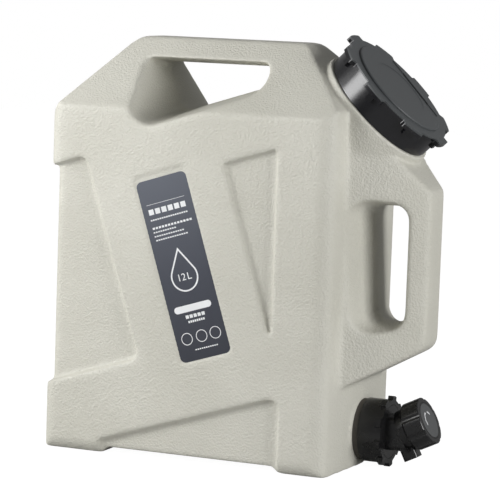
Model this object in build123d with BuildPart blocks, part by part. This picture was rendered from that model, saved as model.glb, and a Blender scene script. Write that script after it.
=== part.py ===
"""Water container: a hollow blow-moulded body with two handles, a screw cap and a turn tap.

Millimetres, +Z up. X runs along the container towards the tap, and -Y is the labelled front.
The origin is on the floor, at the middle of the whole object. The body was blown in two mould
halves that meet at Y = 0, so every wall and gap that faces along X has draft away from there.
"""
import os
from math import cos, radians, sin, tan

from build123d import *

# Body
tank_length = 259.2         # left parting ridge to right parting ridge
tank_depth = 160.0
height = 342.0
wall = 2.2
draft = 4.0                 # degrees, on the two end walls
corner_radius = 15.0        # upright corners
base_radius = 12.0          # edges of the underside
roof_fall = 57.0            # top to the crease where the front and back walls lean in
roof_width = 33.0           # flat strip along the top, which is also the handle's width
crease_radius = 18.0
ridge_radius = 9.0
shoulder_angle = 52.0       # degrees, the slope at the left of the top handle
top_start = 55.2            # left ridge to the left end of the top handle
top_right = 54.0            # right ridge to the right end of the top handle
end_radius = 15.0           # both ends of the top, seen from the front

# Feet
foot_length = 52.0          # left foot, from the front left corner
right_foot_length = 38.0    # from the front right corner
arch = 5.5                  # how far the underside between the feet is raised

# Panels of the front and back, in a grid that leans with the handles
lean = 17.9                 # degrees
step = 5.5                  # depth of the deep panels
panel_radius = 8.0
left_panel_back = 151.7     # less than the length of the body
left_panel_low = 52.0
left_panel_fall = 119.5     # less than the height
label_panel_gap = 35.5      # left panel to label panel
label_panel_width = 47.8
label_panel_low = 38.0
label_panel_fall = 147.0    # less than the height
label_panel_step = 1.2
wedge_gap = 81.0            # label panel's left edge to the wedge's
wedge_width = 47.5
wedge_low = 38.0
wedge_fall = 156.5          # less than the height
wedge_tip_radius = 1.5
wedge_step = 4.5
skirt_line = -4.8           # upper edge of the panel between the feet

# Label
label_side_margin = 1.2     # panel to label, at each side
label_end_margin = 3.5
label_drop = 2.0            # below the middle of its panel
label_thickness = 0.4
label_radius = 5.0

# Top handle
top_bar = 20.8
top_gap_left = 20.6         # top's left end to the gap, under the bar
top_gap_right = 29.7
top_gap_depth = 43.4        # left side of the gap, along the leaning grid
top_gap_flare = 7.0
top_gap_radius = 9.0
top_gap_bar_radius = 5.5    # under the bar

# Side handle
grip_reach = 56.4           # right ridge to the handle's outer face
grip_bar = 20.0
grip_width = 33.0
grip_root_width = 104.0     # width of the arms where they leave the body
grip_radius = 8.0
grip_corner = 30.0          # upper outer corner
grip_low_corner = 14.0
grip_low = 71.0             # height where the lower arm leaves the right ridge
grip_low_angle = 28.7
fin_root = 32.0             # how far the fin reaches into the body
side_gap_low = 121.0
side_gap_fall = 127.5       # top of the body to the top of the gap
side_gap_start = 6.5        # right ridge to the gap at mid height
side_gap_lean = 4.0
side_gap_flare = 8.5
side_gap_radius = 9.0

# Neck, on a slope that falls from the top's right end
neck_tilt = 45.8            # degrees from upright
neck_down = 75.0            # from the top's right end, down the slope to the neck's axis
collar_radius = 54.0
collar_height = 6.4
neck_radius = 47.5
neck_bore = 44.0
neck_height = 23.5
boss_depth = 34.0

# Cap
cap_gap = 0.6               # above the neck's collar
cap_radius = 51.6
thread_clearance = 1.3      # room for the fine thread
cap_height = 22.0
cap_flange = 4.4
cap_flange_radius = 52.8
cap_lugs = 8
cap_lug_radius = 57.8
cap_lug_width = 20.0
cap_lug_depth = 20.0
cap_lug_rounding = 1.5
cap_block = 6.0             # small blocks under the lugs
cap_block_depth = 4.4
cap_disc_radius = 44.5
cap_disc_height = 2.0
cap_disc_rounding = 1.4
cap_seal_thickness = 2.0
cap_seal_gap = 0.05
tab_place = 29.0            # finger tab: a slot across the disc and a raised field beyond it
tab_angle = 85.0            # degrees round from the downhill side
tab_slot_length = 34.0
tab_slot_width = 1.8
tab_slot_depth = 1.6
tab_field = 0.8

# Tap spigot, moulded on the body
tap_height = 30.0
pad_radius = 27.0
pad_depth = 10.0
spigot_radius = 22.0
spigot_bore = 16.0
spigot_length = 17.4

# Tap collar
gasket_radius = 25.0
gasket_thickness = 4.4
gasket_clearance = 0.3
collar_gap = 0.2            # between gasket and collar
tap_collar_radius = 26.0
tap_collar_wall = 2.5
tap_collar_length = 20.0
tap_flange = 4.6
tap_lugs = 9
tap_lug_turn = -84.0        # degrees, the first lug round from +Y
tap_lug_radius = 29.0
tap_lug_width = 8.0
tap_lug_depth = 12.0
tap_lug_rounding = 1.0
lip_radius = 22.0

# Tap body
tap_seal_thickness = 2.0
boss_clearance = 0.3        # between the tap body and the collar
tap_step_radius = 23.1
tap_step = 2.0
arm_size = 27.0
arm_radius = 5.0
arm_cut = 110.0             # trims the arm behind the housing's face
valve_angle = 26.4          # degrees, the knob's axis above level
valve_reach = 6.8           # collar's front face to where the two axes cross
valve_bore = 8.5
housing_radius = 16.5
housing_start = 5.0         # along the valve's axis from the crossing
housing_end = 11.2
inlet_radius = 10.5
inlet_depth = 4.0
spout_place = 3.0           # along the valve's axis
spout_thickness = 12.6
spout_width = 13.4
spout_reach = 24.0
spout_port = 4.2            # next to the barrel
spout_bore = 4.6            # from the mouth inwards
spout_bore_depth = 14.0
spout_wall_radius = 2.5
barrel_space = 3.6          # behind the barrel

# Valve barrel and its rings
barrel_clearance = 0.2
barrel_back = -5.4
barrel_hollow = 5.6
barrel_floor = 7.6
ring_width = 1.8            # both ways, a square section
ring_clearance = 0.05
ring_front_place = 9.7
ring_rear_place = -3.4
bead_place = 7.6            # the bead that snaps into the housing
bead_length = 0.8
bead_height = 0.4
bead_clearance = 0.25
stem_size = 8.0
stem_length = 10.0

# Knob
knob_gap = 0.3
knob_radius = 19.8
knob_length = 17.0
knob_flutes = 8
flute_radius = 4.0
flute_depth = 1.1
knob_back_bevel = 1.6
knob_rim_bevel = 0.6
knob_disc_radius = 15.5
knob_disc_depth = 1.2
disc_clearance = 0.1

# Small step in and out again that keeps a sketch's arcs when it is offset
offset_step = 0.5

# Places that follow from the sizes above
collar_back = gasket_thickness + collar_gap
collar_front = collar_back + tap_collar_length
step_back = spigot_length + tap_seal_thickness
knob_back = housing_end + knob_gap
knob_front = knob_back + knob_length
knob_reach = (
    knob_front * cos(radians(valve_angle))
    + (knob_radius - knob_rim_bevel) * sin(radians(valve_angle))
)
overall_length = tank_length + collar_front + valve_reach + knob_reach
left = -overall_length / 2
right = left + tank_length
front_left = left + tank_depth / 2 * tan(radians(draft))
front_right = right - tank_depth / 2 * tan(radians(draft))
slope_top = right - top_right
left_panel_end = tank_length - left_panel_back
label_panel_start = left_panel_end + label_panel_gap
label_panel_length = height - label_panel_fall - label_panel_low
wedge_start = label_panel_start + wedge_gap
slope_run = cos(radians(neck_tilt))
slope_fall = sin(radians(neck_tilt))
neck_base = Plane(
    origin=(slope_top + neck_down * slope_run, 0, height - neck_down * slope_fall),
    x_dir=(slope_run, 0, -slope_fall),
    z_dir=(slope_fall, 0, slope_run),
)
leaning = Plane(
    origin=(front_left, 0, 0),
    x_dir=(cos(radians(lean)), 0, sin(radians(lean))),
    z_dir=(0, -1, 0),
)
tap_base = Plane(origin=(right, 0, tap_height), x_dir=(0, 1, 0), z_dir=(1, 0, 0))
valve_base = Plane(
    origin=(right + collar_front + valve_reach, 0, tap_height),
    x_dir=(sin(radians(valve_angle)), 0, -cos(radians(valve_angle))),
    z_dir=(cos(radians(valve_angle)), 0, sin(radians(valve_angle))),
)
valve_axis = Axis(valve_base.origin, valve_base.z_dir)
barrel_radius = valve_bore - barrel_clearance
ring_outer = valve_bore - ring_clearance
groove_radius = ring_outer - ring_width
spout_base = Plane(
    origin=valve_base.offset(spout_place).origin,
    x_dir=valve_base.z_dir,
    z_dir=valve_base.x_dir,
)
port_base = Plane(
    origin=valve_base.offset(spout_place).origin,
    x_dir=valve_base.z_dir,
    z_dir=(0, -1, 0),
)


def shrink(inset):
    """Move the outline of the sketch at hand inwards."""
    if inset > 0:
        offset(amount=-inset)


def grow(inset):
    """Move the outline of the sketch at hand outwards."""
    offset(amount=-offset_step)
    offset(amount=offset_step + inset)


def plan_core(inset):
    """The body's plan, moved in from its skin, as a full-height prism."""
    with BuildPart() as core:
        with BuildSketch():
            with BuildLine():
                Polyline(
                    (left, 0),
                    (front_left, -tank_depth / 2),
                    (front_right, -tank_depth / 2),
                    (right, 0),
                    (front_right, tank_depth / 2),
                    (front_left, tank_depth / 2),
                    close=True,
                )
            corners = make_face().vertices().filter_by(lambda v: abs(v.Y) > 1)
            fillet(corners, corner_radius)
            shrink(inset)
        extrude(amount=height)
    return core.part


def closed_form(inset):
    """The body before its gaps, panels and neck, moved in from its skin."""
    shoulder = top_start * tan(radians(shoulder_angle))
    slope = top_right * tan(radians(neck_tilt))
    foot_end = front_left + foot_length
    foot_start = front_right - right_foot_length
    side = tank_depth / 2
    roof_start = height - roof_fall
    with BuildPart() as body:
        add(plan_core(inset))
        with BuildSketch(Plane.XZ):
            with BuildLine():
                Polyline(
                    (left, 0),
                    (foot_end, 0),
                    (foot_end + arch, arch),
                    (foot_start - arch, arch),
                    (foot_start, 0),
                    (right, 0),
                    (right, height - slope),
                    (slope_top, height),
                    (left + top_start, height),
                    (left, height - shoulder),
                    close=True,
                )
            outline = make_face().vertices()
            feet = outline.group_by(Axis.Y)[0].sort_by(Axis.X)
            fillet(outline.group_by(Axis.Y)[-1], end_radius)
            fillet([feet[0], feet[-1]], base_radius)
            shrink(inset)
        extrude(amount=tank_depth, both=True, mode=Mode.INTERSECT)
        add(side_arms(inset))
        with BuildSketch(Plane.YZ):
            with BuildLine():
                Polyline(
                    (-side, 0),
                    (side, 0),
                    (side, roof_start),
                    (roof_width / 2, height),
                    (-roof_width / 2, height),
                    (-side, roof_start),
                    close=True,
                )
            outline = make_face().vertices().group_by(Axis.Y)
            fillet(outline[0], base_radius)
            fillet(outline[1], crease_radius)
            fillet(outline[2], ridge_radius)
            shrink(inset)
        extrude(amount=overall_length, both=True, mode=Mode.INTERSECT)
    return body.part


def side_arms(inset):
    """The fin that carries the side handle, before its gap is cut."""
    outer = right + grip_reach
    root = right - fin_root
    fall = tan(radians(neck_tilt))
    rise = tan(radians(grip_low_angle))
    with BuildPart() as fin:
        with BuildSketch(Plane.XZ):
            with BuildLine():
                Polyline(
                    (root, grip_low - (right - root) * rise),
                    (outer, grip_low + grip_reach * rise),
                    (outer, height - (outer - slope_top) * fall),
                    (root, height - (root - slope_top) * fall),
                    close=True,
                )
            outline = make_face().vertices().group_by(Axis.X)[-1].sort_by(Axis.Y)
            fillet(outline[0], grip_low_corner)
            fillet(outline[1], grip_corner)
            shrink(inset)
        extrude(amount=tank_depth / 2, both=True)
        with BuildSketch(Plane.XY):
            with BuildLine():
                Polyline(
                    (root, -grip_root_width / 2),
                    (right - grip_radius / 2, -grip_root_width / 2),
                    (outer, -grip_width / 2),
                    (outer, grip_width / 2),
                    (right - grip_radius / 2, grip_root_width / 2),
                    (root, grip_root_width / 2),
                    close=True,
                )
            outline = make_face().vertices().group_by(Axis.X)
            fillet(outline[1], grip_radius)
            fillet(outline[2], grip_radius)
            shrink(inset)
        extrude(amount=height, mode=Mode.INTERSECT)
    return fin.part


def grid_point(along, up):
    """A point of the leaning grid as X and Z."""
    return (
        front_left + along * cos(radians(lean)) - up * sin(radians(lean)),
        along * sin(radians(lean)) + up * cos(radians(lean)),
    )


def grid_place(x, z):
    """Where a point given as X and Z lies in the leaning grid."""
    return (
        (x - front_left) * cos(radians(lean)) + z * sin(radians(lean)),
        z * cos(radians(lean)) - (x - front_left) * sin(radians(lean)),
    )


def handle_gaps(inset):
    """The openings behind the two handles, flared both ways from the parting plane."""
    grip_inner = right + grip_reach - grip_bar
    side_gap_high = height - side_gap_fall
    half = (side_gap_high - side_gap_low) / 2 * tan(radians(side_gap_lean))
    bar_low = height - top_bar
    bar_left = left + top_start + top_gap_left
    bar_right = slope_top - top_gap_right
    gap_start, bar_up = grid_place(bar_left, bar_low)
    gap_end = grid_place(bar_right, bar_low)[0]
    gap_floor = bar_up - top_gap_depth
    with BuildPart() as gaps:
        with BuildSketch(Plane.XZ):
            with BuildLine():
                Polyline(
                    (bar_left, bar_low),
                    grid_point(gap_start, gap_floor),
                    grid_point(gap_end, gap_floor),
                    (bar_right, bar_low),
                    close=True,
                )
            outline = make_face().vertices().sort_by(Axis.Y)
            fillet(outline[:2], top_gap_radius)
            fillet(outline[2:], top_gap_bar_radius)
            grow(inset)
        extrude(amount=tank_depth / 2 + wall, both=True, taper=-top_gap_flare)
        with BuildSketch(Plane.XZ):
            with BuildLine():
                Polyline(
                    (right + side_gap_start + half, side_gap_low),
                    (grip_inner, side_gap_low),
                    (grip_inner, side_gap_high),
                    (right + side_gap_start - half, side_gap_high),
                    close=True,
                )
            fillet(make_face().vertices(), side_gap_radius)
            grow(inset)
        extrude(amount=(grip_root_width + grip_radius) / 2, both=True, taper=-side_gap_flare)
    return gaps.part


def panels(inset):
    """What the sunk panels take from the front, the back and the left end."""
    with BuildPart() as deep:
        with BuildSketch(leaning) as left_panel:
            with Locations((0, left_panel_low)):
                Rectangle(
                    left_panel_end, height - left_panel_fall - left_panel_low,
                    align=(Align.MIN, Align.MIN),
                )
            fillet(left_panel.vertices().group_by(Axis.X)[-1], panel_radius)
            grow(inset)
        extrude(amount=tank_depth, both=True)
        with BuildSketch(Plane.XZ):
            foot_end = front_left + foot_length
            foot_start = front_right - right_foot_length
            slope = tan(radians(lean))
            line = skirt_line / cos(radians(lean))
            with BuildLine():
                Polyline(
                    (foot_end, -tank_depth),
                    (foot_start, -tank_depth),
                    (foot_start, (foot_start - front_left) * slope + line),
                    (foot_end, foot_length * slope + line),
                    close=True,
                )
            fillet(make_face().vertices().group_by(Axis.Y)[-1], panel_radius)
            grow(inset)
        extrude(amount=tank_depth, both=True)
        add(plan_core(step + inset), mode=Mode.SUBTRACT)
    with BuildPart() as wedge:
        with BuildSketch(leaning):
            with BuildLine():
                wedge_high = height - wedge_fall
                Polyline(
                    (wedge_start, wedge_low),
                    (wedge_start + wedge_width, wedge_high),
                    (wedge_start, wedge_high),
                    close=True,
                )
            tips = make_face().vertices().sort_by(Axis.Y)
            fillet(tips[0], wedge_tip_radius)
            fillet(tips[1:], panel_radius / 2)
            grow(inset)
        extrude(amount=tank_depth, both=True)
        add(plan_core(wedge_step + inset), mode=Mode.SUBTRACT)
    with BuildPart() as label_panel:
        with BuildSketch(leaning) as outline:
            with Locations((label_panel_start, label_panel_low)):
                Rectangle(label_panel_width, label_panel_length, align=(Align.MIN, Align.MIN))
            fillet(outline.vertices(), label_radius)
            grow(inset)
        extrude(amount=tank_depth, both=True)
        add(plan_core(label_panel_step + inset), mode=Mode.SUBTRACT)
    return deep.part + wedge.part + label_panel.part


def blown_form(inset):
    """The whole blown shape, moved in from its skin by the inset."""
    with BuildPart() as form:
        add(closed_form(inset))
        add(handle_gaps(inset), mode=Mode.SUBTRACT)
        add(panels(inset), mode=Mode.SUBTRACT)
    return form.part


# The body: the blown form less its cavity, with the neck and the tap spigot moulded on
skin = blown_form(0)
cavity = blown_form(wall)
with BuildPart() as container:
    add(skin)
    with BuildSketch(neck_base.offset(-boss_depth)):
        Circle(collar_radius)
    extrude(amount=boss_depth + collar_height)
    with BuildSketch(tap_base.offset(-pad_depth)):
        Circle(pad_radius)
    extrude(amount=pad_depth)
    add(cavity, mode=Mode.SUBTRACT)
    with BuildSketch(neck_base.offset(-boss_depth)):
        Circle(collar_radius - wall)
    extrude(amount=boss_depth + collar_height - wall, mode=Mode.SUBTRACT)
    with BuildSketch(neck_base.offset(collar_height - wall)):
        Circle(neck_radius)
    extrude(amount=neck_height - collar_height + wall)
    with BuildSketch(tap_base):
        Circle(spigot_radius)
    extrude(amount=spigot_length)
    with BuildSketch(neck_base.offset(-boss_depth)):
        Circle(neck_bore)
    extrude(amount=boss_depth + neck_height, mode=Mode.SUBTRACT)
    with BuildSketch(tap_base.offset(-pad_depth)):
        Circle(spigot_bore)
    extrude(amount=pad_depth + spigot_length, mode=Mode.SUBTRACT)
container.part.label = "container"

# The label lies on the floor of its panel
with BuildPart() as label:
    panel_floor = tank_depth / 2 - label_panel_step
    with BuildSketch(leaning.offset(panel_floor)) as outline:
        middle = label_panel_start + label_panel_width / 2
        with Locations((middle, label_panel_low + label_panel_length / 2 - label_drop)):
            Rectangle(
                label_panel_width - 2 * label_side_margin, label_panel_length - 2 * label_end_margin
            )
        fillet(outline.vertices(), label_radius)
    extrude(amount=label_thickness)
label.part.label = "label"

# The cap turns on the neck: a skirt, a lugged flange and a raised disc with a finger tab
cap_base = neck_base.offset(collar_height + cap_gap)
cap_axis = Axis(cap_base.origin, cap_base.z_dir)
cap_ceiling = neck_height + cap_seal_thickness + cap_seal_gap - collar_height - cap_gap
tab_middle = (tab_place * cos(radians(tab_angle)), tab_place * sin(radians(tab_angle)))
with BuildPart() as cap_shell:
    with BuildSketch(cap_base):
        Circle(cap_radius)
    extrude(amount=cap_height - cap_flange)
    with BuildSketch(cap_base.offset(cap_height - cap_flange)) as flange:
        with PolarLocations(cap_lug_radius, cap_lugs):
            Rectangle(cap_lug_depth, cap_lug_width)
        Circle(cap_lug_radius, mode=Mode.INTERSECT)
        Circle(cap_flange_radius)
        fillet(flange.vertices(), cap_lug_rounding)
    extrude(amount=cap_flange)
    with BuildSketch(cap_base.offset(cap_height)):
        Circle(cap_disc_radius)
    extrude(amount=cap_disc_height)
    with BuildSketch(cap_base.offset(cap_height - cap_flange - cap_block)):
        with PolarLocations(cap_radius, cap_lugs):
            Rectangle(cap_block_depth, cap_block)
    extrude(amount=cap_block)
    fillet(cap_shell.faces().sort_by(cap_axis)[-1].edges(), cap_disc_rounding)
    with BuildSketch(cap_base.offset(cap_height)):
        Circle(cap_disc_radius - 2 * cap_disc_rounding)
        with Locations(tab_middle):
            Rectangle(
                2 * cap_radius, 2 * cap_radius,
                rotation=tab_angle, align=(Align.MIN, Align.CENTER), mode=Mode.INTERSECT,
            )
    extrude(amount=cap_disc_height + tab_field)
    with BuildSketch(cap_base.offset(cap_height + cap_disc_height + tab_field)):
        with Locations(tab_middle):
            SlotOverall(tab_slot_length, tab_slot_width, rotation=tab_angle + 90)
    extrude(amount=-tab_slot_depth - tab_field, mode=Mode.SUBTRACT)
    with BuildSketch(cap_base):
        Circle(neck_radius + thread_clearance)
    extrude(amount=cap_ceiling, mode=Mode.SUBTRACT)
cap_shell.part.label = "cap_shell"

# The cap's soft ring sits on the neck's mouth
with BuildPart() as cap_seal:
    with BuildSketch(neck_base.offset(neck_height)):
        Circle(neck_radius)
        Circle(neck_bore, mode=Mode.SUBTRACT)
    extrude(amount=cap_seal_thickness)
cap_seal.part.label = "cap_seal"

# The washer between the body and the collar
with BuildPart() as tap_gasket:
    with BuildSketch(tap_base):
        Circle(gasket_radius)
        Circle(spigot_radius + gasket_clearance, mode=Mode.SUBTRACT)
    extrude(amount=gasket_thickness)
tap_gasket.part.label = "tap_gasket"

# The collar draws the tap against the spigot's mouth with its lip
with BuildPart() as tap_collar:
    with BuildSketch(tap_base.offset(collar_back)):
        Circle(tap_collar_radius)
    extrude(amount=tap_collar_length)
    with BuildSketch(tap_base.offset(collar_front - tap_flange)) as flange:
        with PolarLocations(tap_lug_radius, tap_lugs, start_angle=tap_lug_turn):
            Rectangle(tap_lug_depth, tap_lug_width)
        Circle(tap_lug_radius, mode=Mode.INTERSECT)
        Circle(tap_collar_radius)
        fillet(flange.vertices(), tap_lug_rounding)
    extrude(amount=tap_flange)
    with BuildSketch(tap_base.offset(collar_back)):
        Circle(tap_collar_radius - tap_collar_wall)
    extrude(amount=step_back + tap_step - collar_back, mode=Mode.SUBTRACT)
    with BuildSketch(tap_base.offset(collar_back)):
        Circle(lip_radius)
    extrude(amount=tap_collar_length, mode=Mode.SUBTRACT)
tap_collar.part.label = "tap_collar"

# The tap's soft ring, between the spigot's mouth and the tap's step
with BuildPart() as tap_seal:
    with BuildSketch(tap_base.offset(spigot_length)):
        Circle(spigot_radius)
        Circle(spigot_bore, mode=Mode.SUBTRACT)
    extrude(amount=tap_seal_thickness)
tap_seal.part.label = "tap_seal"

# The tap: a stepped boss, a square arm, the valve housing and the spout
with BuildPart() as tap_body:
    with BuildSketch(tap_base.offset(step_back)):
        Circle(tap_step_radius)
    extrude(amount=tap_step)
    with BuildSketch(tap_base.offset(step_back + tap_step)):
        Circle(lip_radius - boss_clearance)
    extrude(amount=collar_front - step_back - tap_step)
    with BuildSketch(tap_base.offset(collar_front)) as arm:
        Rectangle(arm_size, arm_size)
        fillet(arm.vertices(), arm_radius)
    extrude(amount=valve_reach + housing_radius)
    with BuildSketch(valve_base.offset(housing_start)):
        Rectangle(arm_cut, arm_cut)
    extrude(amount=arm_cut, mode=Mode.SUBTRACT)
    with BuildSketch(valve_base.offset(housing_start)):
        Circle(housing_radius)
    extrude(amount=housing_end - housing_start)
    with BuildSketch(spout_base) as spout:
        Rectangle(spout_thickness, spout_width)
        fillet(spout.vertices(), spout_wall_radius)
    extrude(amount=spout_reach)
    with BuildSketch(valve_base.offset(barrel_back - barrel_space)):
        Circle(valve_bore)
    extrude(amount=housing_end - barrel_back + barrel_space, mode=Mode.SUBTRACT)
    with BuildSketch(valve_base.offset(bead_place - bead_clearance)):
        Circle(valve_bore + bead_height + bead_clearance)
    extrude(amount=bead_length + 2 * bead_clearance, mode=Mode.SUBTRACT)
    with BuildSketch(spout_base):
        Circle(spout_port)
    extrude(amount=spout_reach, mode=Mode.SUBTRACT)
    with BuildSketch(spout_base.offset(spout_reach)):
        Circle(spout_bore)
    extrude(amount=-spout_bore_depth, mode=Mode.SUBTRACT)
    with BuildSketch(tap_base.offset(step_back)):
        Circle(inlet_radius)
    extrude(amount=inlet_depth, mode=Mode.SUBTRACT)
tap_body.part.label = "tap_body"

# The barrel: open to the tank at its back, with one port that a quarter turn brings to the spout
with BuildPart() as valve_barrel:
    with BuildSketch(valve_base.offset(barrel_back)):
        Circle(barrel_radius)
    extrude(amount=knob_back - barrel_back)
    with BuildSketch(valve_base.offset(knob_back)):
        Rectangle(stem_size, stem_size)
    extrude(amount=stem_length)
    with BuildSketch(valve_base.offset(barrel_back)):
        Circle(barrel_hollow)
    extrude(amount=barrel_floor - barrel_back, mode=Mode.SUBTRACT)
    with BuildSketch(port_base):
        Circle(spout_port)
    extrude(amount=valve_bore, mode=Mode.SUBTRACT)
    for place in (ring_front_place, ring_rear_place):
        with BuildSketch(valve_base.offset(place - ring_width / 2)):
            Circle(valve_bore)
            Circle(groove_radius, mode=Mode.SUBTRACT)
        extrude(amount=ring_width, mode=Mode.SUBTRACT)
    with BuildSketch(valve_base.offset(bead_place)):
        Circle(valve_bore + bead_height)
        Circle(barrel_hollow, mode=Mode.SUBTRACT)
    extrude(amount=bead_length)
valve_barrel.part.label = "valve_barrel"

# Two sealing rings of square section in the barrel's grooves
with BuildPart() as barrel_ring_front:
    with BuildSketch(valve_base.offset(ring_front_place - ring_width / 2)):
        Circle(ring_outer)
        Circle(groove_radius, mode=Mode.SUBTRACT)
    extrude(amount=ring_width)
barrel_ring_front.part.label = "barrel_ring_front"

with BuildPart() as barrel_ring_rear:
    with BuildSketch(valve_base.offset(ring_rear_place - ring_width / 2)):
        Circle(ring_outer)
        Circle(groove_radius, mode=Mode.SUBTRACT)
    extrude(amount=ring_width)
barrel_ring_rear.part.label = "barrel_ring_rear"

# The knob, fluted round its rim, and the disc in its face
with BuildPart() as knob:
    with BuildSketch(valve_base.offset(knob_back)):
        Circle(knob_radius)
    extrude(amount=knob_length)
    ends = knob.faces().filter_by(valve_axis).sort_by(valve_axis)
    chamfer(ends[0].edges(), knob_back_bevel)
    chamfer(ends[-1].edges(), knob_rim_bevel)
    with BuildSketch(valve_base.offset(knob_back)):
        with PolarLocations(
            knob_radius + flute_radius - flute_depth, knob_flutes, start_angle=180 / knob_flutes
        ):
            Circle(flute_radius)
    extrude(amount=knob_length, mode=Mode.SUBTRACT)
    with BuildSketch(valve_base.offset(knob_front)):
        Circle(knob_disc_radius + disc_clearance)
    extrude(amount=-knob_disc_depth, mode=Mode.SUBTRACT)
    with BuildSketch(valve_base.offset(knob_back)):
        Rectangle(stem_size, stem_size)
    extrude(amount=stem_length, mode=Mode.SUBTRACT)
knob.part.label = "knob"

with BuildPart() as knob_disc:
    with BuildSketch(valve_base.offset(knob_front - knob_disc_depth)):
        Circle(knob_disc_radius)
    extrude(amount=knob_disc_depth)
knob_disc.part.label = "knob_disc"

os.makedirs("parts", exist_ok=True)
pieces = [
    container, label, cap_shell, cap_seal, tap_gasket, tap_collar, tap_seal, tap_body,
    valve_barrel, barrel_ring_front, barrel_ring_rear, knob, knob_disc,
]
for piece in pieces:
    export_step(piece.part, f"parts/{piece.part.label}.step")

bounds = Compound([piece.part for piece in pieces]).bounding_box()
print("capacity, litres:", round(cavity.volume / 1e6, 2))
print("overall:", bounds.min, bounds.max)
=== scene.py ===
"""A blow-moulded water container with its screw cap, turn tap and label, dressed for a studio picture."""
from math import acos, cos, pi, radians, sin

import bmesh
import bpy
import numpy as np
from mathutils import Matrix, Vector


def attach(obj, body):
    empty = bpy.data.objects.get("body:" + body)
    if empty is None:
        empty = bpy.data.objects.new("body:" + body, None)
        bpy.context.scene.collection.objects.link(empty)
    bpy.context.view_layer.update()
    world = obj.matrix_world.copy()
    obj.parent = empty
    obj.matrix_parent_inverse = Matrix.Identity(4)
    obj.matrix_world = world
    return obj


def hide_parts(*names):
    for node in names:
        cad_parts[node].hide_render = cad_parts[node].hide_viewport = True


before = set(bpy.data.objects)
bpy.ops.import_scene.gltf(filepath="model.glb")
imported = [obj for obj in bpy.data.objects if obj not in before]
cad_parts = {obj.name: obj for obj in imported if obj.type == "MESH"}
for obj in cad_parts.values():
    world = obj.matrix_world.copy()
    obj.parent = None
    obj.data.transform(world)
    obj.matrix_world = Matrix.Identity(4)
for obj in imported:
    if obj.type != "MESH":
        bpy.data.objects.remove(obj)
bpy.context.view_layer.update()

# The camera looks at the labelled front from a little above and to the tap's side.
# Its place and its long lens come from the straight edges of the body in the photograph.
camera_place = (0.7554, -1.8493, 0.3993)
camera_azimuth = radians(22.44)
camera_fall = radians(6.57)
camera_roll = radians(2.05)
camera_lens = 175.15        # in millimetres, as the sensor's width is
camera_sensor = 36.0
camera_near = 0.05          # nothing closer than this is drawn


def add(name, data):
    """A new object in the scene."""
    made = bpy.data.objects.new(name, data)
    bpy.context.collection.objects.link(made)
    return made


camera_data = bpy.data.cameras.new("camera")
camera_data.lens = camera_lens
camera_data.sensor_width = camera_sensor
camera_data.clip_start = camera_near
camera = add("camera", camera_data)
camera.matrix_world = (
    Matrix.Translation(camera_place)
    @ Matrix.Rotation(camera_azimuth, 4, "Z")
    @ Matrix.Rotation(pi / 2 - camera_fall, 4, "X")
    @ Matrix.Rotation(camera_roll, 4, "Z")
)
bpy.context.scene.camera = camera
bpy.context.scene.view_settings.view_transform = "Standard"


# The studio: a white floor that keeps a soft shadow, and a surround that is white to the camera
# and dimmer to the object. Four soft lamps light the front and the tap's side more than the top.
class Wire:
    """A value in a node tree. Arithmetic adds Math nodes, and node() adds any other node."""

    def __init__(self, tree, socket=None):
        self.tree = tree
        self.socket = socket

    def node(self, kind, inputs=None, out=0, **settings):
        """Add a node: its settings first, then the values or links of its sockets."""
        made = self.tree.nodes.new(kind)
        stops = settings.pop("stops", None)
        for name, value in settings.items():
            setattr(made, name, value)
        if stops:
            ramp = made.color_ramp.elements
            while len(ramp) < len(stops):
                ramp.new(0.5)
            for element, (place, color) in zip(ramp, stops):
                element.position = place
                element.color = color
        for name, value in (inputs or {}).items():
            if isinstance(value, Wire):
                self.tree.links.new(value.socket, made.inputs[name])
            else:
                made.inputs[name].default_value = value
        return None if out is None else Wire(self.tree, made.outputs[out])

    def math(self, operation, other=0.0, swap=False):
        """Add a Math node of this value and another, or with swap of the other and this."""
        values = {0: other, 1: self} if swap else {0: self, 1: other}
        return self.node("ShaderNodeMath", values, operation=operation)

    def __add__(self, other):
        return self.math("ADD", other)

    __radd__ = __add__

    def __sub__(self, other):
        return self.math("SUBTRACT", other)

    def __rsub__(self, other):
        return self.math("SUBTRACT", other, swap=True)

    def __mul__(self, other):
        return self.math("MULTIPLY", other)

    __rmul__ = __mul__

    def __truediv__(self, other):
        return self.math("DIVIDE", other)

    def ramp(self, low, high):
        """A smooth step: 0 below low, 1 above high."""
        return self.node(
            "ShaderNodeMapRange",
            {"Value": self, "From Min": low, "From Max": high},
            interpolation_type="SMOOTHSTEP",
        )


def new_tree(name):
    """A material with an empty tree, as the material and its first wire."""
    material = bpy.data.materials.new(name)
    material.use_nodes = True
    material.node_tree.nodes.clear()
    return material, Wire(material.node_tree)


def grey(value):
    """A grey as a colour with full alpha."""
    return (value, value, value, 1)


floor_half = 4.0
floor_grey = 0.55           # what the object sees of the floor
floor_white = 0.9           # the part that takes the shadow before the camera
floor_glow = 0.85           # the share of the camera's floor that glows instead
glow_strength = 1.15

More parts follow.
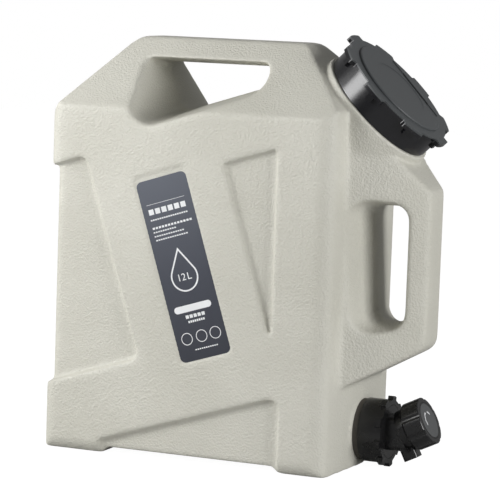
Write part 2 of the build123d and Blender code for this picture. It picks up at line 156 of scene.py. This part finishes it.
floor_material, wire = new_tree("studio_floor")
seen = wire.node("ShaderNodeLightPath", out="Is Camera Ray")
shaded = wire.node("ShaderNodeBsdfDiffuse", {"Color": grey(floor_white)})
glowing = wire.node("ShaderNodeEmission", {"Color": grey(1), "Strength": glow_strength})
plain = wire.node("ShaderNodeBsdfDiffuse", {"Color": grey(floor_grey)})
camera_view = wire.node("ShaderNodeMixShader", {0: floor_glow, 1: shaded, 2: glowing})
wire.node(
    "ShaderNodeOutputMaterial",
    {"Surface": wire.node("ShaderNodeMixShader", {0: seen, 1: plain, 2: camera_view})},
    out=None,
)
floor_mesh = bpy.data.meshes.new("studio_floor")
floor_corners = [(x * floor_half, y * floor_half, 0) for x, y in ((-1, -1), (1, -1), (1, 1), (-1, 1))]
floor_mesh.from_pydata(floor_corners, [], [(0, 1, 2, 3)])
floor_mesh.materials.append(floor_material)
floor = add("studio_floor", floor_mesh)

surround_plain = 0.2        # the surround's strength for plain surfaces
surround_gloss = 0.3        # and in mirrored light
world = bpy.data.worlds.new("studio")
bpy.context.scene.world = world
world.use_nodes = True
world.node_tree.nodes.clear()
wire = Wire(world.node_tree)
seen = wire.node("ShaderNodeLightPath", out="Is Camera Ray")
glossy = wire.node("ShaderNodeLightPath", out="Is Glossy Ray")
strength = seen * (1 - surround_plain) + glossy * (surround_gloss - surround_plain) + surround_plain
surround = wire.node("ShaderNodeBackground", {"Color": grey(1), "Strength": strength})
wire.node("ShaderNodeOutputWorld", {"Surface": surround}, out=None)


def lamp(name, place, target, size, power):
    """A square soft lamp that faces a point of the object, with its power in watts."""
    data = bpy.data.lights.new(name, "AREA")
    data.size = size
    data.energy = power
    made = add(name, data)
    made.location = place
    made.rotation_euler = (Vector(target) - Vector(place)).to_track_quat("-Z", "Y").to_euler()


lamp("far_left", (-1.3, -1.5, 0.9), (-0.05, 0, 0.25), 0.9, 3.4)
lamp("near_left", (-0.72, -0.74, 0.58), (-0.12, 0, 0.28), 0.5, 9.0)
lamp("side", (1.5, -0.35, 0.45), (0.1, 0, 0.2), 0.7, 15.5)
lamp("left", (-1.9, -0.45, 0.95), (0.1, 0, 0.3), 0.7, 8.0)


# The container: one hollow body of beige-grey polyethylene, blown in two mould halves, with a
# fine pebbled grain from the mould. Its edges are soft, as blown plastic never fills a corner.
# The neck and the tap's spigot are finished to size, so they stay crisp.
def solid_copy(node, name):
    """A merged copy of a solid of the frame, as a new object with no material."""
    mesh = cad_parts[node].data.copy()
    mesh.name = name
    mesh.materials.clear()
    shape = bmesh.new()
    shape.from_mesh(mesh)
    bmesh.ops.remove_doubles(shape, verts=shape.verts, dist=1e-6)
    shape.to_mesh(mesh)
    shape.free()
    return add(name, mesh)


def apply_modifiers(piece):
    """Turn a piece's modifiers into its mesh."""
    graph = bpy.context.evaluated_depsgraph_get()
    mesh = bpy.data.meshes.new_from_object(piece.evaluated_get(graph))
    piece.modifiers.clear()
    piece.data = mesh


def inside(places, low, high):
    """Which places lie inside a box."""
    return ((places > low) & (places < high)).all(axis=1)


voxel = 0.0013              # the size of the remesh's quads
face_limit = 192000         # the triangles that are kept of them
neck_place = Vector((0.09516, 0, 0.28823))      # the middle of the neck's foot
neck_tilt = radians(45.8)
neck_axis = Vector((sin(neck_tilt), 0, cos(neck_tilt)))
neck_keep = (0.0555, -0.002)                    # radius, and start along the axis, of what stays crisp
spigot_place = Vector((0.09687, 0, 0.030))      # the middle of the spigot's foot
spigot_keep = (0.0275, -0.0015)                 # and of what stays crisp there
arms_box = ((0.085, -0.066, 0.058), (1.0, 0.066, 0.250))    # the side handle's arms
scoop_box = ((-0.112, -1.0, 0.262), (0.040, 1.0, 1.0))      # round the top handle
lean = radians(17.9)                            # of the grid that the panels lie on
grid_corner = -0.156735                         # the grid's start, at the foot of the left side
panel_box = ((0.137, 0.032, 0.0765), (0.197, 0.201, 1.0))   # along, up and out: the label's panel

body = solid_copy("container", "body")
remesh = body.modifiers.new("even", "REMESH")
remesh.mode = "VOXEL"
remesh.voxel_size = voxel
apply_modifiers(body)

points = np.empty(len(body.data.vertices) * 3)
body.data.vertices.foreach_get("co", points)
points = points.reshape(-1, 3)
x, y, z = points.T
from_neck = points - np.array(neck_place)
along_neck = from_neck @ np.array(neck_axis)
round_neck = np.linalg.norm(from_neck - np.outer(along_neck, neck_axis), axis=1)
round_spigot = np.hypot(y, z - spigot_place.z)
crisp = (round_neck < neck_keep[0]) & (along_neck > neck_keep[1])
crisp |= (round_spigot < spigot_keep[0]) & (x > spigot_place.x + spigot_keep[1])
arms = inside(points, *arms_box) & ~crisp
scoop = inside(points, *scoop_box) & ~crisp
along = (x - grid_corner) * cos(lean) + z * sin(lean)
up = z * cos(lean) - (x - grid_corner) * sin(lean)
panel = inside(np.column_stack((along, up, np.abs(y))), *panel_box)
softened = {"skin": (~crisp & ~panel, 20), "panel": (panel, 4), "arms": (arms, 34), "scoop": (scoop, 22)}
for name, (chosen, rounds) in softened.items():
    group = body.vertex_groups.new(name=name)
    group.add(np.flatnonzero(chosen).tolist(), 1.0, "REPLACE")
    smooth = body.modifiers.new(name, "SMOOTH")
    smooth.factor = 0.5
    smooth.iterations = rounds
    smooth.vertex_group = name
thin = body.modifiers.new("thin", "DECIMATE")
thin.ratio = face_limit / (2 * len(body.data.polygons))
apply_modifiers(body)
body.data.shade_smooth()


def noise(wire, place, scale, detail=2.0):
    """An even noise over the object's own coordinates."""
    return wire.node("ShaderNodeTexNoise", {"Vector": place, "Scale": scale, "Detail": detail})


def bump(wire, strength, depth, height):
    """A normal that follows a height."""
    return wire.node("ShaderNodeBump", {"Strength": strength, "Distance": depth, "Height": height})


def blend(wire, share, first, second):
    """A colour between two. A Mix node has its colours on sockets 6 and 7 and gives its own on 2."""
    return wire.node("ShaderNodeMix", {0: share, 6: first, 7: second}, out=2, data_type="RGBA")


def surface(wire, color, roughness, normal):
    """End a material's tree with one Principled surface."""
    values = {"Base Color": color, "Roughness": roughness, "Normal": normal}
    plastic = wire.node("ShaderNodeBsdfPrincipled", values)
    wire.node("ShaderNodeOutputMaterial", {"Surface": plastic}, out=None)


body_color = (0.60, 0.59, 0.525, 1)
body_dark = (0.55, 0.54, 0.475, 1)
body_rough = 0.5
patch_scale = 9.0           # faint patches to the metre
grain_scale = 620.0         # pebbles to the metre
grain_depth = 0.00034
grain_strength = 0.75
seam_width = 0.0005         # the parting line's thin ridge

body_material, wire = new_tree("blown_plastic")
place = wire.node("ShaderNodeTexCoord", out="Object")
pebbles = noise(wire, place, grain_scale).ramp(0.35, 0.7)
patches = noise(wire, place, patch_scale).ramp(0.35, 0.65)
across = wire.node("ShaderNodeSeparateXYZ", {0: place}, out="Y")
seam = 1 - across.math("ABSOLUTE").ramp(0.0, seam_width)
grain = bump(wire, grain_strength, grain_depth, pebbles + seam)
surface(wire, blend(wire, patches, body_dark, body_color), body_rough, grain)
body.data.materials.clear()
body.data.materials.append(body_material)
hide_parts("container")
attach(body, "container")


# The threads on the neck and on the tap's spigot: rounded ridges of three turns each, moulded with
# the container in its beige-grey plastic. The cap and the collar screw onto them.
def new_growth(name, inputs):
    """An empty Geometry Nodes tree with named inputs, as the tree, its first wire and the inputs."""
    tree = bpy.data.node_groups.new(name, "GeometryNodeTree")
    tree.interface.new_socket(name="Geometry", in_out="OUTPUT", socket_type="NodeSocketGeometry")
    for label, value in inputs.items():
        kind = "NodeSocketInt" if isinstance(value, int) else "NodeSocketFloat"
        tree.interface.new_socket(name=label, in_out="INPUT", socket_type=kind)
    source = tree.nodes.new("NodeGroupInput")
    return tree, Wire(tree), {label: Wire(tree, source.outputs[label]) for label in inputs}


def grown(name, tree, inputs, place):
    """An object with the mesh that a Geometry Nodes tree makes, put in its place."""
    piece = add(name, bpy.data.meshes.new(name))
    growth = piece.modifiers.new("growth", "NODES")
    growth.node_group = tree
    for socket in tree.interface.items_tree:
        if socket.in_out == "INPUT":
            growth[socket.identifier] = inputs[socket.name]
    apply_modifiers(piece)
    piece.data.transform(place)
    piece.data.name = name
    return piece


thread_steps = 72           # to the turn
bead_sides = 8
neck_inputs = {"Radius": 0.0475, "Bead": 0.00075, "Pitch": 0.004, "Turns": 3.0}
thread_tree, wire, given = new_growth("thread", neck_inputs)
coil = wire.node(
    "GeometryNodeCurveSpiral",
    {
        "Resolution": thread_steps,
        "Rotations": given["Turns"],
        "Start Radius": given["Radius"],
        "End Radius": given["Radius"],
        "Height": given["Pitch"] * given["Turns"],
        "Reverse": True,
    },
)
bead = wire.node(
    "GeometryNodeCurvePrimitiveCircle",
    {"Resolution": bead_sides, "Radius": given["Bead"]},
    mode="RADIUS",
)
ridge = wire.node(
    "GeometryNodeCurveToMesh", {"Curve": coil, "Profile Curve": bead, "Fill Caps": True}
)
smooth = wire.node("GeometryNodeSetShadeSmooth", {"Geometry": ridge})
whole = wire.node("GeometryNodeRealizeInstances", {"Geometry": smooth})
painted = wire.node("GeometryNodeSetMaterial", {"Geometry": whole, "Material": body_material})
wire.node("NodeGroupOutput", {"Geometry": painted}, out=None)

neck_turn = Matrix.Translation(neck_place) @ neck_axis.to_track_quat("Z", "X").to_matrix().to_4x4()
neck_thread_start = 0.009
neck_thread = grown(
    "neck_thread", thread_tree, neck_inputs,
    neck_turn @ Matrix.Translation((0, 0, neck_thread_start)),
)
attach(neck_thread, "container")

spigot_turn = Matrix.Translation(spigot_place) @ Matrix.Rotation(pi / 2, 4, "Y")
spigot_thread_start = 0.0065
spigot_inputs = {"Radius": 0.022, "Bead": 0.0007, "Pitch": 0.003, "Turns": 3.0}
spigot_thread = grown(
    "spigot_thread", thread_tree, spigot_inputs,
    spigot_turn @ Matrix.Translation((0, 0, spigot_thread_start)),
)
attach(spigot_thread, "container")


# The cap: one black moulding with eight lugs and a finger slot. Its skirt is polished, its top is
# a dull satin, sunk by a hair inside a circle, and in the skirt runs a thread with the neck's pitch.
join_angle = radians(1)     # faces that lie flatter than this become one
edge_angle = radians(32)    # edges sharper than this are rounded


def bevelled(node, name, width, body_name, material):
    """A copy of a solid with its edges rounded, in place of the solid."""
    piece = solid_copy(node, name)
    shape = bmesh.new()
    shape.from_mesh(piece.data)
    bmesh.ops.dissolve_limit(shape, angle_limit=join_angle, verts=shape.verts, edges=shape.edges)
    shape.to_mesh(piece.data)
    shape.free()
    rounding = piece.modifiers.new("rounding", "BEVEL")
    rounding.width = width
    rounding.segments = 2
    rounding.limit_method = "ANGLE"
    rounding.angle_limit = edge_angle
    piece.modifiers.new("even_shading", "WEIGHTED_NORMAL")
    piece.data.shade_smooth()
    apply_modifiers(piece)
    piece.data.materials.clear()
    piece.data.materials.append(material)
    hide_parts(node)
    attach(piece, body_name)
    return piece


def dot(wire, first, second):
    """The dot product of two vectors."""
    return wire.node("ShaderNodeVectorMath", {0: first, 1: second}, out="Value", operation="DOT_PRODUCT")


cap_face = 0.0285           # from the neck's foot to the flange's upper face
disc_face = 0.0310          # and to the raised disc's face
cap_black = (0.006, 0.006, 0.0075, 1)
cap_satin = (0.062, 0.067, 0.07, 1)
satin_low = cap_face - 0.0012                   # the polish ends here
satin_high = cap_face - 0.0004                  # and the satin is full here
polish_rough = 0.2
satin_rough = 0.48
satin_scale = 1500.0
satin_depth = 0.00005
skin_strength = 0.3         # of the fine skin on all smooth mouldings
dish_radius = 0.0262
dish_depth = 0.0006
dish_sides = 128

cap_material, wire = new_tree("cap_plastic")
place = wire.node("ShaderNodeTexCoord", out="Object")
from_foot = wire.node("ShaderNodeVectorMath", {0: place, 1: neck_place}, operation="SUBTRACT")
top = dot(wire, from_foot, neck_axis).ramp(satin_low, satin_high)
dull = bump(wire, skin_strength, satin_depth, noise(wire, place, satin_scale) * top)
roughness = top * (satin_rough - polish_rough) + polish_rough
surface(wire, blend(wire, top, cap_black, cap_satin), roughness, dull)
cap = bevelled("cap_shell", "cap", 0.0005, "cap", cap_material)

shape = bmesh.new()
bmesh.ops.create_cone(
    shape, cap_ends=True, segments=dish_sides, depth=2 * dish_depth,
    radius1=dish_radius - dish_depth, radius2=dish_radius + dish_depth,
)
dish = add("dish", bpy.data.meshes.new("dish"))
shape.to_mesh(dish.data)
shape.free()
dish.data.transform(neck_turn @ Matrix.Translation((0, 0, disc_face)))
sink = cap.modifiers.new("sink", "BOOLEAN")
sink.operation = "DIFFERENCE"
sink.solver = "EXACT"
sink.object = dish
cap.modifiers.new("even_shading", "WEIGHTED_NORMAL")
apply_modifiers(cap)
bpy.data.objects.remove(dish)

cap_thread_start = neck_thread_start + 0.002    # half a pitch on, so that the ridges pass
thread_paint = thread_tree.nodes["Set Material"].inputs["Material"]
thread_paint.default_value = cap_material
cap_thread = grown(
    "cap_thread", thread_tree,
    {"Radius": 0.04885, "Bead": 0.0008, "Pitch": 0.004, "Turns": 2.25},
    neck_turn @ Matrix.Translation((0, 0, cap_thread_start)),
)
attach(cap_thread, "cap")


# The cap's soft ring: a flat ring of black rubber that lies loose in the cap and closes on the
# neck's mouth. It goes up and down with the cap without turning.
mottle_scale = 60.0
mottle_tone = 0.12          # how far the colour goes either way
mottle_rough = 0.08         # and the roughness, from end to end


def plain_material(name, color, roughness, grain=0.00003, pebbles=1800.0):
    """A plain moulding: one colour with a faint mottle and a fine skin."""
    material, wire = new_tree(name)
    place = wire.node("ShaderNodeTexCoord", out="Object")
    mottle = noise(wire, place, mottle_scale, detail=3.0)
    darker = tuple((1 - mottle_tone) * part for part in color) + (1,)
    lighter = tuple((1 + mottle_tone) * part for part in color) + (1,)
    rough = mottle * mottle_rough + (roughness - mottle_rough / 2)
    skin = bump(wire, skin_strength, grain, noise(wire, place, pebbles))
    surface(wire, blend(wire, mottle, darker, lighter), rough, skin)
    return material


seal_rubber = plain_material("seal_rubber", (0.02, 0.02, 0.02), 0.65)


def dress(node, material):
    """Give a solid of the frame, kept as it is, its material."""
    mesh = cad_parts[node].data
    mesh.materials.clear()
    mesh.materials.append(material)


dress("cap_seal", seal_rubber)


# The label: a printed film stuck to the floor of its panel. The print is white on slate that
# darkens downwards, and it holds only a drop with the volume, plain bars and plain rings.
label_place = Vector((0.1669, 0, 0.1145))       # its middle, along and up the leaning grid
label_middle = Vector((grid_corner, 0, 0)) + Matrix.Rotation(-lean, 3, "Y") @ label_place
label_long = 0.150
label_front = -0.0792
print_depth = 0.00005       # how far the film lies behind its print
film_rough = 0.36
speck_rough = 0.06
speck_scale = 900.0
speck_depth = 0.00003
speck_strength = 0.15
slate_foot = (0.028, 0.031, 0.043, 1)
slate_middle = (0.047, 0.052, 0.07, 1)
slate_head = (0.10, 0.11, 0.135, 1)

label_material, wire = new_tree("label_film")
place = wire.node("ShaderNodeTexCoord", out="Object")
upward = Vector((-sin(lean), 0, cos(lean)))
share = (dot(wire, place, upward) - (label_middle.dot(upward) - label_long / 2)) / label_long
stops = ((0.0, slate_foot), (0.45, slate_middle), (1.0, slate_head))
slate = wire.node("ShaderNodeValToRGB", {0: share}, stops=stops)
specks = noise(wire, place, speck_scale)
film = bump(wire, speck_strength, speck_depth, specks)
surface(wire, slate, specks * speck_rough + film_rough, film)
film_piece = solid_copy("label", "label_film")
for vertex in film_piece.data.vertices:
    if vertex.co.y < label_front + print_depth:
        vertex.co.y = label_front + print_depth
film_piece.data.materials.append(label_material)
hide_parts("label")
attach(film_piece, "container")

ink = plain_material("label_ink", (0.78, 0.79, 0.8), 0.5)
label_turn = Matrix.Translation((label_middle.x, label_front, label_middle.z)) @ Matrix((
    (cos(lean), -sin(lean), 0, 0),
    (0, 0, -1, 0),
    (sin(lean), cos(lean), 0, 0),
    (0, 0, 0, 1),
))

blocks_inputs = {"Count": 6, "Spacing": 0.0058, "Width": 0.0044, "Height": 0.0048}
blocks_tree, wire, given = new_growth("blocks", blocks_inputs)
first = wire.node("ShaderNodeCombineXYZ", {"X": (given["Count"] - 1) * given["Spacing"] * -0.5})
step = wire.node("ShaderNodeCombineXYZ", {"X": given["Spacing"]})
row = wire.node(
    "GeometryNodeMeshLine", {"Count": given["Count"], "Start Location": first, "Offset": step}
)
block = wire.node(
    "GeometryNodeMeshGrid",
    {"Size X": given["Width"], "Size Y": given["Height"], "Vertices X": 2, "Vertices Y": 2},
)
printed = wire.node("GeometryNodeInstanceOnPoints", {"Points": row, "Instance": block})
whole = wire.node("GeometryNodeRealizeInstances", {"Geometry": printed})
painted = wire.node("GeometryNodeSetMaterial", {"Geometry": whole, "Material": ink})
wire.node("NodeGroupOutput", {"Geometry": painted}, out=None)

# Across and up from the label's middle, how many blocks, their spacing, width and height
rows = (
    (-0.0007, 0.0553, 1, 0.0, 0.0345, 0.0003),
    (-0.0007, 0.0492, 6, 0.0058, 0.0044, 0.0045),
    (-0.0007, 0.0427, 17, 0.0020, 0.0015, 0.0012),
    (0.0002, 0.0360, 13, 0.0028, 0.0020, 0.0017),
    (-0.0075, 0.0327, 10, 0.0021, 0.0015, 0.0011),
    (-0.0043, 0.0294, 13, 0.0021, 0.0015, 0.0011),
    (-0.0028, 0.0261, 14, 0.0021, 0.0015, 0.0011),
    (-0.0002, -0.0395, 5, 0.0036, 0.0028, 0.0028),
    (-0.0002, -0.0437, 8, 0.0019, 0.0014, 0.0018),
    (0.0026, -0.0666, 11, 0.0019, 0.0014, 0.0010),
)
prints = [
    grown(
        "row", blocks_tree,
        {"Count": count, "Spacing": spacing, "Width": width, "Height": tall},
        label_turn @ Matrix.Translation((across, up, 0)),
    )
    for across, up, count, spacing, width, tall in rows
]


def strip(name, inner, outer, closed=True):
    """A flat band between two lines of as many points."""
    count = len(inner)
    links = count if closed else count - 1
    mesh = bpy.data.meshes.new(name)
    faces = [(i, count + i, count + (i + 1) % count, (i + 1) % count) for i in range(links)]
    mesh.from_pydata([(x, y, 0) for x, y in inner + outer], [], faces)
    mesh.materials.append(ink)
    return add(name, mesh)


def on_circle(radius, angles):
    """Points of a circle round the origin."""
    return [(radius * cos(angle), radius * sin(angle)) for angle in angles]


def spread(first, last, steps):
    """Even steps from one value to another, with both."""
    return [first + (last - first) * i / steps for i in range(steps + 1)]


def drop_line(radius, tip, steps=71):
    """A drop: most of a circle, and two sides that meet at a tip."""
    swing = acos(radius / tip)
    return on_circle(radius, spread(pi / 2 + swing, 5 * pi / 2 - swing, steps)) + [(0.0, tip)]


def on_label(piece, place):
    """Put a flat print in its place on the label: across and up from the middle."""
    piece.data.transform(label_turn @ Matrix.Translation((*place, 0)))
    prints.append(piece)


drop_inner = (0.0108, 0.0216)                   # the radius and the tip's height of its line
drop_outer = (0.0121, 0.0242)
drop_place = (-0.0008, -0.0075)
ring_radius = 0.0050
ring_line = 0.0006
ring_steps = 48
ring_places = ((-0.0125, -0.0567), (0.0008, -0.0567), (0.0132, -0.0567))
pill_long = 0.0334
pill_high = 0.0056
pill_steps = 16
pill_spine = 0.2            # the length of its middle line, against the whole
pill_place = (-0.0006, -0.0328)
volume_place = (-0.0012, -0.0078)
volume_high = 0.0082

on_label(strip("drop", drop_line(*drop_inner), drop_line(*drop_outer)), drop_place)

ring_turn = spread(0, 2 * pi, ring_steps)[:-1]
for ring_place in ring_places:
    ring = strip("ring", on_circle(ring_radius - ring_line, ring_turn), on_circle(ring_radius, ring_turn))
    on_label(ring, ring_place)

pill_edge = []
for side in (1, -1):
    bend = on_circle(pill_high / 2, spread(-side * pi / 2, pi - side * pi / 2, pill_steps))
    pill_edge += [(side * (pill_long - pill_high) / 2 + x, y) for x, y in bend]
on_label(strip("pill", [(x * pill_spine, 0.0) for x, y in pill_edge], pill_edge), pill_place)

words = bpy.data.curves.new("volume", "FONT")
words.body = "12 L"
words.size = volume_high
words.space_word = 0.4
words.align_x = "CENTER"
words.align_y = "CENTER"
volume = add("volume", words)
graph = bpy.context.evaluated_depsgraph_get()
letters_mesh = bpy.data.meshes.new_from_object(volume.evaluated_get(graph))
bpy.data.objects.remove(volume)
letters_mesh.materials.clear()
letters_mesh.materials.append(ink)
on_label(add("volume_print", letters_mesh), volume_place)

shape = bmesh.new()
for piece in prints:
    shape.from_mesh(piece.data)
    bpy.data.objects.remove(piece)
label_print = add("label_print", bpy.data.meshes.new("label_print"))
shape.to_mesh(label_print.data)
shape.free()
label_print.data.materials.append(ink)
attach(label_print, "container")


# The washer behind the collar: a flat ring of black rubber, dulled by handling, which the
# collar presses against the body. Its warm dark grey is a painted reflection of the beige body.
washer_rubber_painted_reflection = plain_material("washer_rubber_painted_reflection", (0.075, 0.068, 0.06), 0.75, grain=0.00006, pebbles=900.0)
dress("tap_gasket", washer_rubber_painted_reflection)


# The tap collar: a polished black nut with ears, moulded in one with the thread inside it. It
# screws onto the spigot and draws the tap in.
tap_black = plain_material("tap_plastic", (0.007, 0.007, 0.0075), 0.27, grain=0.00002)
bevelled("tap_collar", "collar", 0.0004, "collar", tap_black)
collar_thread_start = spigot_thread_start + 0.0015  # half a pitch on
thread_paint.default_value = tap_black
collar_thread = grown(
    "collar_thread", thread_tree,
    {"Radius": 0.0235, "Bead": 0.0007, "Pitch": 0.003, "Turns": 2.25},
    spigot_turn @ Matrix.Translation((0, 0, collar_thread_start)),
)
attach(collar_thread, "collar")


# The tap: one black moulding with its boss, arm, valve housing and spout. A soft black ring
# between it and the spigot's mouth seals it.
bevelled("tap_body", "tap", 0.0004, "tap", tap_black)
dress("tap_seal", seal_rubber)


# The valve's barrel: a pale grey tube with a port in its side, which turns in the housing between
# two soft rings. Its port meets the spout when the knob is a quarter turn on.
dress("valve_barrel", plain_material("barrel_plastic", (0.45, 0.45, 0.44), 0.4))
dress("barrel_ring_front", seal_rubber)
dress("barrel_ring_rear", seal_rubber)


# The knob: a polished black moulding with flutes for the fingers. It is fixed on the barrel's end,
# so that the two turn as one.
bevelled("knob", "fluted_knob", 0.0005, "valve", tap_black)


# The knob's disc: a dark grey satin moulding pressed into the knob's face, printed with a black
# edge line and a white turn mark of two arcs.
knob_angle = radians(26.4)
knob_axis = Vector((cos(knob_angle), 0, sin(knob_angle)))
knob_front = 0.0285         # from the middle of the valve to the disc's face
valve_place = Vector((0.128268, 0, 0.030))
edge_line = 0.0146
edge_blur = 0.0002
disc_satin = (0.075, 0.078, 0.08, 1)
disc_black = grey(0.004)
disc_rough = 0.4
disc_mottle = 0.1
disc_scale = 1500.0
disc_depth = 0.00004
mark_radius = 0.0078
mark_line = 0.0012
mark_arcs = ((105, 205), (35, 75))              # first and last degree of each
mark_steps = 24
mark_lift = 0.00002         # above the disc's face

disc_material, wire = new_tree("disc_plastic")
place = wire.node("ShaderNodeTexCoord", out="Object")
from_valve = wire.node("ShaderNodeVectorMath", {0: place, 1: valve_place}, operation="SUBTRACT")
height = dot(wire, from_valve, knob_axis)
reach = wire.node("ShaderNodeVectorMath", {0: from_valve}, out="Value", operation="LENGTH")
line = (reach * reach - height * height).math("SQRT").ramp(edge_line - edge_blur, edge_line)
fine = noise(wire, place, disc_scale)
dull = bump(wire, skin_strength, disc_depth, fine)
surface(wire, blend(wire, line, disc_satin, disc_black), fine * disc_mottle + disc_rough, dull)
dress("knob_disc", disc_material)

disc_turn = Matrix.Translation(valve_place + knob_axis * (knob_front + mark_lift)) @ Matrix((
    (0, -sin(knob_angle), cos(knob_angle), 0),
    (1, 0, 0, 0),
    (0, cos(knob_angle), sin(knob_angle), 0),
    (0, 0, 0, 1),
))
shape = bmesh.new()
for first, last in mark_arcs:
    turn = spread(radians(first), radians(last), mark_steps)
    arc = strip("arc", on_circle(mark_radius - mark_line, turn), on_circle(mark_radius, turn), closed=False)
    shape.from_mesh(arc.data)
    bpy.data.objects.remove(arc)
mark = add("turn_mark", bpy.data.meshes.new("turn_mark"))
shape.to_mesh(mark.data)
shape.free()
mark.data.transform(disc_turn)
mark.data.materials.append(ink)
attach(mark, "valve")
